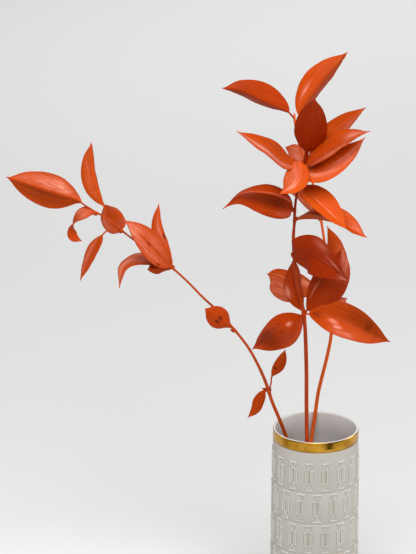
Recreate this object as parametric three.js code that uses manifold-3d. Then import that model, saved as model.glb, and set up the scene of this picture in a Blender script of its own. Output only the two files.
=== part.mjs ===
// Dried ruscus stems, dyed orange red, standing dry in a white bisque vase with a gilt lip.
// Units are millimetres. The vase stands on z = 0 with its axis on the z axis, and y grows away
// from the front. Each leafy stem is one grown piece, and so one mesh.
import * as THREE from "three";
import { mergeVertices } from "three/addons/utils/BufferGeometryUtils.js";
import Module from "manifold-3d";

const wasm = await Module();
wasm.setup();

// ---------------------------------------------------------------- driving dimensions

// Vase
const VASE_HEIGHT = 215;
const LIP_RADIUS = 42.7;
const FOOT_RADIUS = 44.3;
const WALL = 2.4;
const FLOOR = 6;
const EDGE = 0.8; // rounding of the lip and the foot
const SIDES = 32; // one flat for each figure of a row and of the next row

// Relief on the vase: rows of waisted figures, each row turned by half a step
const FIGURES_ROUND = 16;
const ROWS = 5;
const ROW_PITCH = 33.4;
const FIRST_ROW_MIDDLE = 178;
const FIRST_FIGURE_TURN = -10.4; // degrees to the right of the front
const FIGURE_RELIEF = 0.9;
const FIGURE_SINK = 0.9;

// Stems
const STEM_SIDES = 7;
const JOINT_SWELL = 1.25; // a stem is this much thicker where leaves grow from it
const STEM_FOOT = FLOOR + 1;

// Leaves
const BLADE = 0.7; // thickness of a blade
const PETIOLE = 1.5; // width and thickness of a leaf's stalk
const NECK = 0.06; // share of a leaf's length that is stalk
const WIDEST = 0.42; // where along the blade it is widest
const FULL = 0.9; // power of the sine that gives the blade's outline; less is fuller
const DRAWN_OUT = 0.6; // more power from TIP_FROM on draws out the tip
const TIP_FROM = 0.75;
const STATIONS = [0, 0.1, 0.22, 0.36, 0.5, 0.64, 0.77, 0.88, 0.96, 1];
const ACROSS = 2; // strips in each half of a blade
const FLAT_BELOW = 4; // a half blade narrower than this folds less, and its stalk and tip lie flat

// The side that the arrangement shows: the front, seen from a little above.
// Each half of a blade is turned about the midrib, in degrees, away from that side.
// A leaf that lies too far from it is turned from a front of its own.
const FRONT = [0, -0.94, 0.34];

// Each stem: where it stands on the vase's floor, its thickness at the foot and at the tip, and
// the points that it grows through, with a name where leaves leave it.
const STEMS = {
  centre: {
    foot: [4, -16],
    thick: 4.3,
    thin: 2.0,
    route: [
      ["", -10, -36, 215], ["", -11, -38, 248], ["", -12, -40, 300], ["low", -15, -42, 350],
      ["", -19, -42, 369], ["", -23, -43, 390], ["mid", -25, -43, 409], ["", -26, -43, 428],
      ["right", -25, -42, 445], ["left", -25, -42, 454], ["droop", -22, -41, 478],
      ["high", -16, -40, 499], ["", -20, -39, 514], ["crown", -24, -38, 531],
      ["tip", -26, -37, 544], ["", -26, -36, 549],
    ],
  },
  back: {
    foot: [-24, -24],
    thick: 4.2,
    thin: 2.4,
    route: [
      ["", -3, 28, 189], ["", 1, 36, 216], ["", 4, 42, 236], ["", 13, 52, 272], ["", 17, 58, 294],
      ["low", 16, 66, 326], ["", 14, 73, 356], ["", 10, 78, 381], ["mid", 6, 83, 406],
      ["", 2, 86, 426], ["", -3, 88, 444], ["tip", -7, 89, 459],
    ],
  },
  side: {
    foot: [27, 22],
    thick: 3.8,
    thin: 1.8,
    route: [
      ["", -29, 16, 198], ["", -36, 10, 219], ["", -44, 11, 239], ["first", -47, 11, 249],
      ["", -52, 12, 263], ["", -60, 12, 281], ["", -67, 12, 294], ["", -75, 11, 306],
      ["second", -81, 10, 314], ["", -93, 9, 329], ["", -103, 8, 340], ["", -112, 7, 349],
      ["", -129, 5, 368], ["third", -142, 3, 381], ["", -164, 1, 399], ["", -183, 0, 414],
      ["fourth", -191, -1, 421], ["fifth", -205, -2, 434], ["sixth", -215, -3, 440],
      ["tip", -227, -4, 448],
    ],
  },
};

// Each leaf: the joint that it grows from, points along its midrib, the half width of its blade,
// and how far its left and right halves are turned near the stalk, in the middle and at the tip.
// A curl turns the outer edge of the left and the right half further. Where the halves differ,
// the half width and the slimness are given as a pair, left and right.
const LEAVES = [
  {
    stem: "centre", joint: "tip", half: 16.5, neck: 0.11, full: 1, slim: 0.9,
    rib: [[-32, -38, 551], [-57, -43, 564], [-78, -48, 575], [-95, -52, 578]],
    left: [81, 81, 72], right: [12, 12, 18],
  },
  {
    stem: "centre", joint: "crown", half: 17.3, neck: 0.18,
    rib: [[-20, -34, 550], [-8, -30, 568], [7, -26, 587], [24, -20, 605]],
    left: [35, 15, 15], right: [76, 77, 65],
  },
  {
    stem: "centre", joint: "high", half: 15,
    rib: [[-34, -52, 505], [-54, -60, 522], [-70, -64, 533], [-81, -66, 540]],
    left: [-68, -68, -60], right: [30, 45, 50],
  },
  {
    stem: "centre", joint: "high", half: 14.9, neck: 0.2, stalk: 4, widest: 0.36, full: 0.75,
    rib: [[-14, -48, 517], [-12, -62, 539], [-9, -86, 577]],
    left: [25, 25, 20], right: [12, 12, 10],
  },
  {
    stem: "centre", joint: "high", half: [12, 12.2],
    front: [0, -0.5, 0.87], full: 0.75, slim: 1.1, widest: 0.5,
    rib: [[-21, -52, 506], [-23, -62, 503], [-25, -78, 499], [-30, -94, 495], [-41, -104, 490]],
    left: [15, 15, 15], right: [20, 20, 20],
  },
  {
    stem: "centre", joint: "high", half: 16.8,
    rib: [[0, -56, 515], [20, -68, 531], [34, -76, 540], [43, -80, 544]],
    left: [18, 38, 62], right: [-70, -70, -65],
  },
  {
    stem: "centre", joint: "high", half: 15.5, slim: 0.7, widest: 0.33,
    rib: [[-10, -54, 498], [1, -62, 501], [21, -62, 514], [40, -58, 532]],
    left: [20, 20, 20], right: [-46, -48, -35],
  },
  {
    stem: "centre", joint: "droop", half: 14.5,
    rib: [[-18, -50, 478], [-2, -62, 468], [13, -72, 456], [24, -78, 447]],
    left: [15, 15, 15], right: [-58, -58, -50],
  },
  {
    stem: "centre", joint: "left", half: [14, 20.5],
    curl: [0, 84], widest: 0.33, full: 1.1, slim: [0.8, 0.5],
    rib: [[-35, -50, 460], [-52, -57, 467], [-72, -63, 473], [-81, -66, 473], [-94, -70, 465]],
    left: [-30, -30, -30], right: [-15, -10, 72],
  },
  {
    stem: "centre", joint: "right", half: 16.5,
    rib: [[-17, -46, 448], [1, -52, 449], [22, -60, 445], [43, -68, 436]],
    left: [50, 20, 15], right: [-112, -95, -60],
  },
  {
    stem: "centre", joint: "mid", half: [22.5, 15], slim: [0.45, 1.3], full: 0.9, widest: 0.38,
    rib: [[-24, -50, 410], [-13, -60, 414], [3, -72, 410], [26, -82, 397]],
    left: [-12, -32, -65], right: [20, 20, 15],
  },
  {
    stem: "centre", joint: "low", half: 12.5, full: 1.15,
    rib: [[-20, -38, 362], [-24, -34, 374], [-25, -32, 386], [-25, -34, 405]],
    left: [30, 40, 70], right: [55, 60, 30],
  },
  {
    stem: "centre", joint: "low", half: 18,
    rib: [[-6, -45, 362], [6, -52, 382], [16, -58, 402], [19, -62, 424]],
    left: [30, 30, 30], right: [10, 10, 30],
  },
  {
    stem: "centre", joint: "low", half: 17, slim: 1, full: 0.85,
    rib: [[5, -50, 352], [29, -58, 346], [49, -62, 337], [68, -64, 329]],
    left: [-5, -15, -20], right: [-25, -25, -20],
  },
  {
    stem: "centre", joint: "low", half: 17.3, full: 0.8,
    rib: [[-23, -54, 348], [-39, -74, 344], [-53, -88, 339], [-66, -97, 334]],
    left: [20, 5, 0], right: [15, 48, 55],
  },
  {
    stem: "back", joint: "tip", half: 9.5, full: 0.7, widest: 0.5,
    rib: [[-15, 94, 468], [-23, 100, 474], [-30, 104, 476]],
    left: [30, 30, 30], right: [20, 20, 20],
  },
  {
    stem: "back", joint: "tip", half: 13,
    rib: [[6, 92, 483], [29, 95, 505], [50, 98, 519]],
    left: [38, 38, 38], right: [45, 45, 45],
  },
  {
    stem: "back", joint: "mid", half: [7, 9],
    rib: [[-2, 82, 420], [-15, 80, 434], [-32, 78, 441]],
    left: [35, 35, 35], right: [20, 20, 20],
  },
  {
    stem: "back", joint: "low", half: [8, 14], full: 0.8,
    rib: [[22, 64, 346], [19, 60, 373], [15, 58, 395], [11, 57, 408]],
    left: [45, 45, 45], right: [25, 25, 25],
  },
  {
    stem: "back", joint: "low", half: [22, 11], full: 0.75, slim: [2.4, 0.5], widest: 0.58,
    rib: [[-15, 58, 346], [-29, 54, 352], [-41, 50, 359], [-49, 46, 361]],
    left: [15, 20, 25], right: [25, 30, 30],
  },
  {
    stem: "back", joint: "low", half: 8,
    rib: [[24, 78, 319], [34, 90, 320]],
    left: [20, 20, 20], right: [20, 20, 20],
  },
  {
    stem: "side", joint: "tip", half: 18.3, curl: [-20, 0], slim: 1.3,
    rib: [[-234, -6, 454], [-265, -10, 466], [-285, -14, 474], [-302, -18, 481]],
    left: [40, 40, 40], right: [25, 25, 22],
  },
  {
    stem: "side", joint: "fifth", half: 12.5, neck: 0.18,
    rib: [[-209, -2, 447], [-217, -4, 474], [-220, -6, 495], [-220, -8, 513]],
    left: [10, 10, 10], right: [85, 85, 75],
  },
  {
    stem: "side", joint: "sixth", half: 9.5, widest: 0.5, full: 0.8,
    rib: [[-226, -6, 442], [-235, -10, 436], [-240, -14, 427], [-238, -16, 420], [-230, -17, 416]],
    left: [0, -80, -170], right: [0, 80, 170],
  },
  {
    stem: "side", joint: "fourth", half: 11.8, full: 0.42, slim: 0.75, neck: 0.05, widest: 0.5,
    rib: [[-199, 16, 424], [-205, 30, 430], [-210, 44, 434]],
    left: [20, 20, 20], right: [30, 30, 30],
  },
  {
    stem: "side", joint: "fourth", half: 7.8, neck: 0.34, widest: 0.36,
    rib: [[-206, -10, 424], [-214, -16, 416], [-223, -22, 400], [-232, -28, 379]],
    left: [-50, -50, -50], right: [45, 45, 45],
  },
  {
    stem: "side", joint: "third", half: [12.5, 14.5],
    rib: [[-154, -8, 398], [-168, -14, 416], [-181, -18, 431], [-189, -20, 439]],
    left: [-22, -22, -22], right: [35, 33, 25],
  },
  {
    stem: "side", joint: "third", half: [8.5, 6.5],
    rib: [[-151, 10, 403], [-157, 16, 422], [-156, 20, 443]],
    left: [30, 30, 30], right: [50, 50, 40],
  },
  {
    stem: "side", joint: "third", half: 10.5,
    rib: [[-167, 10, 388], [-180, 9, 388], [-191, 6, 381], [-195, 0, 362]],
    left: [-60, -60, -60], right: [55, 55, 55],
  },
  {
    stem: "side", joint: "third", half: 8.5, widest: 0.55,
    rib: [[-153, -2, 384], [-167, -6, 383]],
    left: [52, 52, 52], right: [20, 20, 20],
  },
  {
    stem: "side", joint: "second", half: 11, neck: 0.14, slim: 1.6, widest: 0.5, full: 0.8,
    rib: [[-92, 2, 326], [-102, -2, 335], [-111, -4, 342]],
    left: [20, 20, 20], right: [20, 20, 20],
  },
  {
    stem: "side", joint: "first", half: 5.4, neck: 0.34, slim: 1.2,
    rib: [[-45, 11, 257], [-44, 11, 265], [-36, 9, 279], [-31, 7, 295]],
    left: [20, 20, 20], right: [20, 20, 20],
  },
  {
    stem: "side", joint: "first", half: 5.4, neck: 0.12,
    rib: [[-51, 9, 250], [-57, 7, 240], [-60, 6, 232], [-68, 5, 223]],
    left: [20, 20, 20], right: [20, 20, 20],
  },
  {
    stem: "side", joint: "first", half: 1.1,
    rib: [[-50, 11, 251], [-54, 11, 252]],
    left: [20, 20, 20], right: [20, 20, 20],
  },
];

// ---------------------------------------------------------------- small helpers

const radians = THREE.MathUtils.degToRad;

// Turns closed three.js geometry into a solid that can be joined to others.
function solid(geometry) {
  const bare = geometry.clone();
  bare.deleteAttribute("normal");
  bare.deleteAttribute("uv");
  const welded = mergeVertices(bare, 1e-4);
  const vertProperties = new Float32Array(welded.attributes.position.array);
  const triVerts = new Uint32Array(welded.index.array);
  return new wasm.Manifold(new wasm.Mesh({ numProp: 3, vertProperties, triVerts }));
}

// Turns a joined solid back into three.js geometry.
function geometryOf(body) {
  const mesh = body.getMesh();
  const geometry = new THREE.BufferGeometry();
  geometry.setAttribute("position", new THREE.BufferAttribute(new Float32Array(mesh.vertProperties), 3));
  geometry.setIndex(new THREE.BufferAttribute(new Uint32Array(mesh.triVerts), 1));
  geometry.computeVertexNormals();
  return geometry;
}

// Makes geometry from a list of points and a list of triangles.
function facets(points, triangles) {
  const geometry = new THREE.BufferGeometry().setFromPoints(points);
  geometry.setIndex(triangles);
  return geometry;
}

// Reads a value that is given near the stalk, in the middle and at the tip.
function between([start, middle, end], s) {
  const { lerp } = THREE.MathUtils;
  return s < 0.5 ? lerp(start, middle, 2 * s) : lerp(middle, end, 2 * s - 1);
}

// ---------------------------------------------------------------- vase

function vaseBody() {
  const inside = LIP_RADIUS - WALL;
  const profile = [
    [0, 0],
    [FOOT_RADIUS - EDGE, 0],
    [FOOT_RADIUS, EDGE],
    [LIP_RADIUS, VASE_HEIGHT - EDGE],
    [LIP_RADIUS - EDGE, VASE_HEIGHT],
    [inside + EDGE, VASE_HEIGHT],
    [inside, VASE_HEIGHT - EDGE],
    [inside, FLOOR + EDGE],
    [inside - EDGE, FLOOR],
    [0, FLOOR],
  ];
  const points = profile.map(([r, z]) => new THREE.Vector2(r, z));
  const firstEdge = radians(FIRST_FIGURE_TURN) + Math.PI / SIDES;
  return new THREE.LatheGeometry(points, SIDES, firstEdge).rotateX(Math.PI / 2);
}

// One waisted figure, upright in the xz plane and facing -y.
function figure() {
  const quarter = [[3.8, 15.2], [1.3, 8.6], [4.4, 7.2]];
  const corners = [
    ...quarter,
    ...quarter.toReversed().map(([x, z]) => [x, -z]),
    ...quarter.map(([x, z]) => [-x, -z]),
    ...quarter.toReversed().map(([x, z]) => [-x, z]),
  ];
  const outline = new THREE.Shape(corners.map(([x, z]) => new THREE.Vector2(x, z)));
  const depth = FIGURE_RELIEF + FIGURE_SINK;
  return new THREE.ExtrudeGeometry(outline, { depth, bevelEnabled: false }).rotateX(Math.PI / 2);
}

function vase() {
  const figures = [];
  const lean = Math.atan((FOOT_RADIUS - LIP_RADIUS) / VASE_HEIGHT);
  for (let row = 0; row < ROWS; row += 1) {
    const middle = FIRST_ROW_MIDDLE - row * ROW_PITCH;
    const radius = THREE.MathUtils.lerp(FOOT_RADIUS, LIP_RADIUS, middle / VASE_HEIGHT);
    const flat = radius * Math.cos(Math.PI / SIDES);
    for (let k = 0; k < FIGURES_ROUND; k += 1) {
      const turn = FIRST_FIGURE_TURN + (k + (row % 2) / 2) * (360 / FIGURES_ROUND);
      const shape = figure().rotateX(-lean).translate(0, FIGURE_SINK - flat, middle);
      figures.push(solid(shape.rotateZ(radians(turn))));
    }
  }
  return geometryOf(figures.reduce((body, shape) => body.add(shape), solid(vaseBody())));
}

// ---------------------------------------------------------------- stems and leaves

// A stem's centre line, from the vase's floor to its tip.
function centreLine({ foot, route }) {
  const points = [[...foot, STEM_FOOT], ...route.map(([, x, y, z]) => [x, y, z])];
  return new THREE.CatmullRomCurve3(points.map((p) => new THREE.Vector3(...p)), false, "centripetal");
}

// A stem: rings round its centre line, thinner upwards and swollen at its joints.
function stem(plan) {
  const line = centreLine(plan);
  const stops = plan.route.length;
  const frames = line.computeFrenetFrames(stops, false);
  const points = [];
  const triangles = [];
  for (let i = 0; i <= stops; i += 1) {
    const centre = line.getPoint(i / stops);
    const joint = i > 0 && plan.route[i - 1][0] !== "";
    const swell = joint ? JOINT_SWELL : 1;
    const radius = (swell * THREE.MathUtils.lerp(plan.thick, plan.thin, i / stops)) / 2;
    for (let k = 0; k < STEM_SIDES; k += 1) {
      const turn = (2 * Math.PI * k) / STEM_SIDES;
      const out = frames.normals[i].clone().multiplyScalar(radius * Math.cos(turn));
      out.addScaledVector(frames.binormals[i], radius * Math.sin(turn));
      points.push(out.add(centre));
    }
  }
  for (let i = 0; i < stops; i += 1) {
    for (let k = 0; k < STEM_SIDES; k += 1) {
      const a = i * STEM_SIDES + k;
      const b = i * STEM_SIDES + ((k + 1) % STEM_SIDES);
      triangles.push(a, b, b + STEM_SIDES, a, b + STEM_SIDES, a + STEM_SIDES);
    }
  }
  for (let k = 1; k < STEM_SIDES - 1; k += 1) {
    const last = stops * STEM_SIDES;
    triangles.push(0, k + 1, k, last, last + k, last + k + 1);
  }
  return facets(points, triangles);
}

// A leaf's outline: the share of its half width that it has along the blade. A slim one widens
// slowly from its stalk, and every tip is drawn out to a point.
function outline(s, widest, slim, full) {
  const swell = Math.sin(Math.PI * s ** (Math.log(0.5) / Math.log(widest)));
  const base = s < widest ? THREE.MathUtils.lerp(slim, full, s / widest) : full;
  const point = DRAWN_OUT * Math.max((s - TIP_FROM) / (1 - TIP_FROM), 0) ** 2;
  return Math.max(swell, 0) ** (base + point);
}

// The points of a leaf's blade: a row across it at each station along its midrib.
function bladeRows(plan) {
  const { left, right, curl = [0, 0], neck = NECK, stalk = PETIOLE } = plan;
  const { widest = WIDEST, full = FULL, slim = full } = plan;
  const front = new THREE.Vector3(...(plan.front ?? FRONT));
  const halves = [plan.half].flat();
  const slims = [slim].flat();
  const start = STEMS[plan.stem].route.find(([name]) => name === plan.joint);
  const points = [start.slice(1), ...plan.rib].map((p) => new THREE.Vector3(...p));
  const midrib = new THREE.CatmullRomCurve3(points, false, "centripetal");
  return [0, ...STATIONS.map((s) => neck + (1 - neck) * s)].map((t) => {
    const s = Math.max((t - neck) / (1 - neck), 0);
    const along = midrib.getTangentAt(t);
    const rightward = new THREE.Vector3().crossVectors(along, front).normalize();
    const away = new THREE.Vector3().crossVectors(along, rightward).normalize();
    const roll = (between(right, s) - between(left, s)) / 2;
    const fold = (between(right, s) + between(left, s)) / 2;
    const edgeFrom = (side, half, bend, slimness) => {
      const width = half * outline(s, widest, slimness, full) + (stalk / 2) * (1 - 0.7 * s);
      const share = Math.min(width / FLAT_BELOW, 1);
      const edge = midrib.getPointAt(t);
      const steps = [];
      for (let j = 1; j <= ACROSS; j += 1) {
        const turn = radians(side * roll + share * (fold + bend * ((j - 0.5) / ACROSS) ** 2));
        edge.addScaledVector(rightward, (side * Math.cos(turn) * width) / ACROSS);
        edge.addScaledVector(away, (Math.sin(turn) * width) / ACROSS);
        steps.push(edge.clone());
      }
      return steps;
    };
    const leftEdge = edgeFrom(-1, halves[0], curl[0], slims[0]).toReversed();
    const rightEdge = edgeFrom(1, halves.at(-1), curl[1], slims.at(-1));
    return [...leftEdge, midrib.getPointAt(t), ...rightEdge];
  });
}

// A leaf: the blade's points moved half its thickness to each side, and closed round its edge.
// Both faces are split into triangles alike, so they stay apart where the blade waves.
function leaf(plan) {
  const rows = bladeRows(plan);
  const last = rows.length - 1;
  const edge = 2 * ACROSS;
  const faces = [[], []];
  rows.forEach((row, i) => {
    const share = i / last;
    row.forEach((point, j) => {
      const across = row[Math.min(j + 1, edge)].clone().sub(row[Math.max(j - 1, 0)]);
      const along = rows[Math.min(i + 1, last)][j].clone().sub(rows[Math.max(i - 1, 0)][j]);
      const normal = across.cross(along).normalize();
      const rib = j === ACROSS ? THREE.MathUtils.lerp(PETIOLE, BLADE, share) : BLADE;
      faces[0].push(point.clone().addScaledVector(normal, rib / 2));
      faces[1].push(point.clone().addScaledVector(normal, -rib / 2));
    });
  });
  const front = (i, j) => i * (edge + 1) + j;
  const back = (i, j) => faces[0].length + front(i, j);
  const triangles = [];
  const quad = (a, b, c, d) => triangles.push(a, b, c, a, c, d);
  for (let i = 0; i < last; i += 1) {
    for (let j = 0; j < edge; j += 1) {
      quad(front(i, j), front(i, j + 1), front(i + 1, j + 1), front(i + 1, j));
      quad(back(i, j), back(i + 1, j), back(i + 1, j + 1), back(i, j + 1));
    }
    quad(front(i, 0), front(i + 1, 0), back(i + 1, 0), back(i, 0));
    quad(front(i, edge), back(i, edge), back(i + 1, edge), front(i + 1, edge));
  }
  for (let j = 0; j < edge; j += 1) {
    quad(front(0, j), back(0, j), back(0, j + 1), front(0, j + 1));
    quad(front(last, j), front(last, j + 1), back(last, j + 1), back(last, j));
  }
  return facets(faces.flat(), triangles);
}

// A leafy stem: the stem and every leaf that grows from it, joined in one body.
function leafyStem(name) {
  const leaves = LEAVES.filter((plan) => plan.stem === name).map((plan) => solid(leaf(plan)));
  return geometryOf(leaves.reduce((body, blade) => body.add(blade), solid(stem(STEMS[name]))));
}

// ---------------------------------------------------------------- the whole

const bisque = new THREE.MeshStandardMaterial({ color: 0xd8d4cd, roughness: 0.75 });
const ruscus = new THREE.MeshStandardMaterial({ color: 0xc03c14, roughness: 0.4 });

function part(name, geometry, material) {
  const mesh = new THREE.Mesh(geometry, material);
  mesh.name = name;
  return mesh;
}

const group = new THREE.Group();
group.add(part("vase", vase(), bisque));
group.add(part("centre_stem", leafyStem("centre"), ruscus));
group.add(part("back_stem", leafyStem("back"), ruscus));
group.add(part("side_stem", leafyStem("side"), ruscus));

export default group;
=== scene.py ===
# %% [markdown]
# # Dried ruscus in a relief vase
# Three leafy stems of ruscus, preserved and dyed orange red, stand dry in a straight vase of
# unglazed porcelain. Low figures in relief run round the vase in rows, and a gold band is burnished
# round its lip. The frame holds the exact solids of all of it, in metres, standing on z = 0 with
# the vase's axis on the z axis and the front towards -y. Each cell below makes one piece or one
# finish, and each piece takes the place of the solid that it stands for.

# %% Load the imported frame
import math

import bpy
import numpy as np
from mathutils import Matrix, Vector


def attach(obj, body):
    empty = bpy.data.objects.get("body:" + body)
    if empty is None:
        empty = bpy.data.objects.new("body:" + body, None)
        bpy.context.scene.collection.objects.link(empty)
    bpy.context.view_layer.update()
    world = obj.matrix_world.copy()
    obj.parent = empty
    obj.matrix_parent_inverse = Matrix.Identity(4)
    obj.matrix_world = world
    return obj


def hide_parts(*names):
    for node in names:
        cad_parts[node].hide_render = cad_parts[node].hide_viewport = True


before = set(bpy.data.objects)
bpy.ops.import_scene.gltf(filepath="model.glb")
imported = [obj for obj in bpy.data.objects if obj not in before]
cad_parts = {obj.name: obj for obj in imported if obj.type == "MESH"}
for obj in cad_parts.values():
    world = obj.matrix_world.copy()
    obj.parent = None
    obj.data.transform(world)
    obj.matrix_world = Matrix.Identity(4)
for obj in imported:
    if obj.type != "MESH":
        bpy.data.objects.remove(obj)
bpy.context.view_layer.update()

# %% [markdown]
# ## Small helpers
# Sizes are easier to read in millimetres, and Blender counts in metres, so `MM` turns one into the
# other. A paint chart or a web page gives colours as sRGB hex values, but a shader mixes light,
# which is linear, so one function turns the first into the second. `add` adds a node with its
# settings, and `feed` fills a node's inputs with values or with links: a list goes in order, and a
# dictionary by name or number. A Map Range node takes its value, the range that the value comes
# in, and the range that it goes out to, in that order.

# %% Helpers
MM = 0.001


def linear(code):
    channels = [int(code[i:i + 2], 16) / 255 for i in (0, 2, 4)]
    return [c / 12.92 if c <= 0.04045 else ((c + 0.055) / 1.055) ** 2.4 for c in channels] + [1.0]


def feed(node, inputs):
    """Fills inputs with values, or with links from sockets or from nodes' first outputs."""
    for key, value in inputs.items() if isinstance(inputs, dict) else enumerate(inputs):
        socket = node.inputs[key] if isinstance(key, int) else next(
            s for s in node.inputs if s.enabled and s.name == key)
        if isinstance(value, bpy.types.Node):
            value = next(s for s in value.outputs if s.enabled)
        if isinstance(value, bpy.types.NodeSocket):
            node.id_data.links.new(value, socket)
        else:
            socket.default_value = value


def add(tree, kind, inputs=(), **settings):
    node = tree.nodes.new(kind)
    for name, value in settings.items():
        setattr(node, name, value)
    feed(node, inputs)
    return node


def new_material(name):
    material = bpy.data.materials.new(name)
    material.use_nodes = True
    return material, material.node_tree, material.node_tree.nodes["Principled BSDF"]


def placed(name, data):
    made = bpy.data.objects.new(name, data)
    bpy.context.collection.objects.link(made)
    return made


def mesh_object(name, points, faces, edges=()):
    mesh = bpy.data.meshes.new(name)
    mesh.from_pydata([tuple(p) for p in points], edges, faces)
    return placed(name, mesh)


print("helpers ready")

# %% [markdown]
# ## Camera
# A long lens from 2.7 m away keeps the vase's sides nearly parallel. It looks 18.8 degrees down, so
# that the mouth of the vase opens into an ellipse.

# %% Camera
lens = bpy.data.cameras.new("camera")
lens.lens = 168.95
lens.sensor_width = 36
lens.clip_end = 100
camera = placed("camera", lens)
camera.location = (-0.1078, -2.41295, 1.19489)
camera.rotation_euler = (math.radians(71.2), 0, 0)
bpy.context.scene.camera = camera
bpy.context.scene.view_settings.view_transform = "Standard"
print("camera", tuple(round(v, 3) for v in camera.location))

# %% [markdown]
# ## Studio
# The arrangement stands on a plain pale sweep under soft light. A panel in front and above lights
# the vase and reaches under the leaves that hang over others, a wide one far behind brightens the
# sweep and the leaves' upper sides, and two upright ones at the sides shape the vase. Area lights
# are used, because their size sets how soft a shadow is.

# %% Floor, sky and light panels
SWEEP_PAINT, _, paint = new_material("studio sweep, matt emulsion")
feed(paint, {"Base Color": linear("F2F2F1"), "Roughness": 0.9, "Specular IOR Level": 0.2})
floor = mesh_object("floor", [(-30, -12, 0), (30, -12, 0), (30, 40, 0), (-30, 40, 0)],
                    [(0, 1, 2, 3)])
floor.data.materials.append(SWEEP_PAINT)

world = bpy.data.worlds.new("studio air")
world.use_nodes = True
feed(world.node_tree.nodes["Background"], {"Color": linear("F2F4F6"), "Strength": 0.15})
bpy.context.scene.world = world

PANELS = [  # name, place, what it faces, width and height in metres, watts
    ("front panel", (0, -0.9, 1.35), (-0.1, 0, 0.3), 1.2, 0.8, 25),
    ("background panel", (0.7, 3.4, 1.6), (0.6, 3.5, 0), 5.0, 2.4, 49),
    ("left panel", (-1.7, 0.3, 0.8), (0, 0, 0.35), 0.9, 1.5, 7),
    ("right panel", (1.7, 0.3, 0.8), (0, 0, 0.35), 0.9, 1.5, 14),
]
for name, place, target, width, height, watts in PANELS:
    lamp = bpy.data.lights.new(name, "AREA")
    lamp.shape = "RECTANGLE"
    lamp.size, lamp.size_y, lamp.energy = width, height, watts
    panel = placed(name, lamp)
    panel.location = place
    aim = Vector(target) - Vector(place)
    panel.rotation_euler = aim.to_track_quat("-Z", "Y").to_euler()
print("panels", len(PANELS))

# %% [markdown]
# ## Flag
# A mirror-bright metal only looks like metal when it has something dark to mirror. Studios stand a
# black card, a flag, just out of view for that. This one draws the dark stripe down the gold, to
# the right of its middle. It is seen by reflections alone: it throws no shadow and no camera sees
# it.

# %% Black flag
FLAG_NEAR, FLAG_FAR, FLAG_TOP = (0.155, -0.345), (0.25, -0.27), 0.21  # metres
FLAG_FELT, _, felt = new_material("black felt flag")
feed(felt, {"Base Color": linear("0A0A0A"), "Roughness": 1.0})
flag = mesh_object("flag", [(*FLAG_NEAR, 0), (*FLAG_FAR, 0), (*FLAG_FAR, FLAG_TOP),
                            (*FLAG_NEAR, FLAG_TOP)], [(0, 1, 2, 3)])
flag.data.materials.append(FLAG_FELT)
for ray in ("camera", "diffuse", "shadow", "transmission"):
    setattr(flag, "visible_" + ray, False)
print("flag stands out of view")

# %% [markdown]
# ## Vase body
# The real vase is slip cast: liquid clay sets against a plaster mould, which leaves one even wall,
# a soft edge at the lip and a shallow step wherever the mould has a ring. A turned shape is a
# profile swept round an axis, so the profile is written down once, from the middle of the
# underside out, up and back in to the middle of the inside, and turned in mesh code. The two ends
# lie on the axis and close as fans.

# %% Vase body
VASE_HEIGHT = 215
LIP_RADIUS = 42.7
FOOT_RADIUS = 44.3
WALL = 2.4
VASE_FLOOR = 6
LIP_ROUND = 1.15
FOOT_ROUND = 1
FLOOR_ROUND = 7
PLAIN_FROM = 190  # height above which the outer wall has no rings
STRAIGHT_TO = 120  # height down to which the inner wall is upright
ROWS = 5
ROW_PITCH = 33.4
FIRST_ROW_MIDDLE = 178
RING_ABOVE_ROW = 16.9
RING_GROOVE = ((-0.75, 0), (-0.55, 0.05), (-0.2, 0.5), (0.2, 0.5), (0.55, 0.05), (0.75, 0))
RECESS_UNDERNEATH = [(0, 1.6), (35.5, 1.6), (36.3, 1.2), (36.9, 0.2), (37.4, 0)]
TURN_STEPS = 180


def wall_radius(z):
    return FOOT_RADIUS + (LIP_RADIUS - FOOT_RADIUS) * z / VASE_HEIGHT


def arc(r, z, size, start, end, steps):
    angles = np.radians(np.linspace(start, end, steps))
    return [(r + size * math.cos(a), z + size * math.sin(a)) for a in angles]


def turned(name, profile, closed=False):
    """Turns a profile of radii and heights in mm round the z axis. Ends on it close as fans."""
    angles = np.linspace(0, 2 * math.pi, TURN_STEPS, endpoint=False)
    points, rings = [], []
    for r, z in profile:
        if r == 0:
            rings.append([len(points)] * TURN_STEPS)
            points.append((0, 0, z * MM))
        else:
            rings.append(list(range(len(points), len(points) + TURN_STEPS)))
            points.extend((r * MM * math.sin(a), -r * MM * math.cos(a), z * MM) for a in angles)
    faces = []
    for low, high in zip(rings, rings[1:] + (rings[:1] if closed else [])):
        for k in range(TURN_STEPS):
            n = (k + 1) % TURN_STEPS
            corners = [low[k], low[n], high[n], high[k]]
            faces.append([c for i, c in enumerate(corners) if c != corners[i - 1]])
    made = mesh_object(name, points, faces)
    made.data.shade_smooth()
    return made


inside = LIP_RADIUS - WALL
outline = RECESS_UNDERNEATH + [(FOOT_RADIUS - FOOT_ROUND, 0)]
outline += arc(FOOT_RADIUS - FOOT_ROUND, FOOT_ROUND, FOOT_ROUND, -60, 0, 4)
for row in reversed(range(1, ROWS + 1)):
    ring = FIRST_ROW_MIDDLE - row * ROW_PITCH + RING_ABOVE_ROW
    outline += [(wall_radius(ring + step) - depth, ring + step) for step, depth in RING_GROOVE]
outline.append((wall_radius(PLAIN_FROM), PLAIN_FROM))
outline += arc(LIP_RADIUS - LIP_ROUND, VASE_HEIGHT - LIP_ROUND, LIP_ROUND, 0, 90, 7)
outline += arc(inside + LIP_ROUND, VASE_HEIGHT - LIP_ROUND, LIP_ROUND, 90, 180, 7)
outline.append((inside, STRAIGHT_TO))
outline += arc(inside - FLOOR_ROUND, VASE_FLOOR + FLOOR_ROUND, FLOOR_ROUND, 0, -90, 7)
outline.append((0, VASE_FLOOR))
vase = turned("porcelain_vase", outline)
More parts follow.
